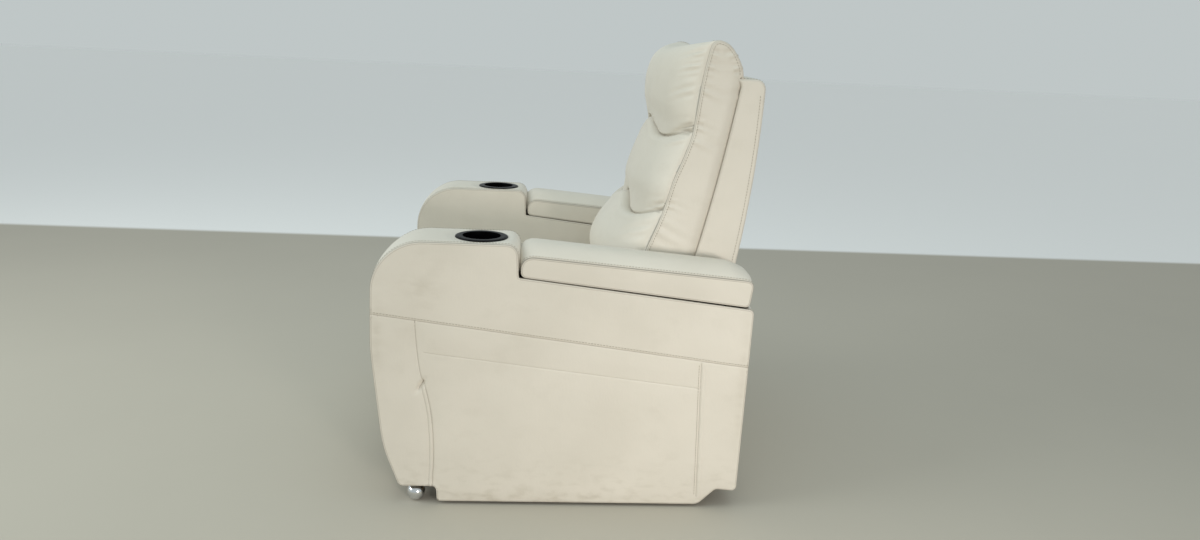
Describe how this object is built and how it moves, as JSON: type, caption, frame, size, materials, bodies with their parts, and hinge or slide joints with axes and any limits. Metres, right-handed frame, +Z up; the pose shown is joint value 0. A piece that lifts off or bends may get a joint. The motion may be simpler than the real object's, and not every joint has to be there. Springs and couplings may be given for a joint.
{
  "type": "power recliner",
  "caption": "Padded leather armchair with cup-holder arms, lift-up armrest lids over storage bins, a reclining pillow back and a swing-out powered footrest.",
  "frame": {"origin": "on the floor under the middle of the chair's box", "axes": "+Z up, the chair faces -Y, +X is the sitter's left arm"},
  "size_m": [0.93, 0.9104, 1.1175],
  "materials": {
    "cream_leather": "soft-grain cream upholstery leather over foam",
    "plywood": "raw birch plywood",
    "black_plastic": "moulded black plastic",
    "gloss_black": "glossy black",
    "polished_chrome": "polished",
    "black_steel": "satin black powder coat",
    "bright_steel": "zinc plated",
    "webbing": "woven elastic webbing"
  },
  "bodies": {
    "base": {"left_arm_outer_pad": "cream_leather", "right_arm_outer_pad": "cream_leather", "left_arm_inner_pad": "cream_leather", "right_arm_inner_pad": "cream_leather", "left_arm_front_pad": "cream_leather", "right_arm_front_pad": "cream_leather", "left_arm_rear_pad": "cream_leather", "right_arm_rear_pad": "cream_leather", "seat_cushion": "cream_leather", "rear_apron": "cream_leather", "left_arm_frame": "plywood", "right_arm_frame": "plywood", "seat_side_rails": "plywood", "seat_cross_rails": "plywood", "left_storage_bin": "black_plastic", "right_storage_bin": "black_plastic", "rear_glides": "black_plastic", "drive_motors": "black_plastic", "power_inlet": "black_plastic", "switch_housing": "black_plastic", "left_cup_holder": "gloss_black", "right_cup_holder": "gloss_black", "front_ball_feet": "polished_chrome", "base_rails": "black_steel", "side_plates": "black_steel", "cross_tubes": "black_steel", "arm_bolts": "bright_steel", "lid_hinge_bases": "bright_steel", "lid_hinge_pins": "bright_steel", "back_pivot_pins": "bright_steel", "drive_guides": "bright_steel", "seat_webbing": "webbing"},
    "backrest": {"back_uprights": "plywood", "back_top_rail": "plywood", "back_pivot_tube": "black_steel", "back_webbing": "webbing", "back_panel": "cream_leather", "back_wings": "cream_leather", "head_pillow": "cream_leather", "middle_pillow": "cream_leather", "lumbar_pillow": "cream_leather"},
    "footrest_lower": {"footrest_torque_tube": "black_steel", "footrest_lower_links": "black_steel", "footrest_elbow_pins": "bright_steel"},
    "footrest_upper": {"footrest_upper_links": "black_steel", "footrest_knee_pins": "bright_steel"},
    "footrest": {"footrest_brackets": "black_steel", "footrest_board": "plywood", "footrest_pad": "cream_leather"},
    "footrest_drive": {"footrest_carriage": "bright_steel"},
    "recline_drive": {"recline_carriage": "bright_steel"},
    "left_lid": {"left_lid_board": "plywood", "left_lid_pad": "cream_leather", "left_lid_hinge_leaf": "bright_steel"},
    "right_lid": {"right_lid_board": "plywood", "right_lid_pad": "cream_leather", "right_lid_hinge_leaf": "bright_steel"},
    "open_button": {"open_button": "black_plastic"},
    "close_button": {"close_button": "black_plastic"}
  },
  "joints": [
    {"name": "back_recline", "type": "hinge", "parent": "base", "child": "backrest", "pos_m": [0, 0.27, 0.345], "axis": [-1, 0, 0], "range_deg": [0, 35]},
    {"name": "footrest_swing", "type": "hinge", "parent": "base", "child": "footrest_lower", "pos_m": [0, -0.224, 0.345], "axis": [-1, 0, 0], "range_deg": [0, 62]},
    {"name": "footrest_elbow", "type": "hinge", "parent": "footrest_lower", "child": "footrest_upper", "pos_m": [0, -0.27964, 0.12183], "axis": [-1, 0, 0], "range_deg": [-124, 0]},
    {"name": "footrest_knee", "type": "hinge", "parent": "footrest_upper", "child": "footrest", "pos_m": [0, -0.33528, 0.345], "axis": [-1, 0, 0], "range_deg": [0, 147]},
    {"name": "footrest_drive_slide", "type": "slide", "parent": "base", "child": "footrest_drive", "axis": [0, -1, 0], "range_m": [0, 0.10816]},
    {"name": "recline_drive_slide", "type": "slide", "parent": "base", "child": "recline_drive", "axis": [0, -1, 0], "range_m": [0, 0.05675]},
    {"name": "left_lid_hinge", "type": "hinge", "parent": "base", "child": "left_lid", "pos_m": [0.382, 0.423, 0.5162], "axis": [-1, 0, 0], "range_deg": [0, 90]},
    {"name": "right_lid_hinge", "type": "hinge", "parent": "base", "child": "right_lid", "pos_m": [-0.382, 0.423, 0.5162], "axis": [-1, 0, 0], "range_deg": [0, 90]},
    {"name": "open_button_press", "type": "slide", "parent": "base", "child": "open_button", "axis": [1, 0, 0], "range_m": [0, 0.0012], "stiffness_N_per_m": 400},
    {"name": "close_button_press", "type": "slide", "parent": "base", "child": "close_button", "axis": [1, 0, 0], "range_m": [0, 0.0012], "stiffness_N_per_m": 400}
  ],
  "couplings": [
    {"joint": "footrest_elbow", "follows": "footrest_swing", "ratio": -2},
    {"joint": "footrest_knee", "follows": "footrest_swing", "ratio": 2.371},
    {"joint": "footrest_drive_slide", "follows": "footrest_swing", "m_per_rad": 0.099949},
    {"joint": "recline_drive_slide", "follows": "back_recline", "m_per_rad": 0.092907}
  ]
}
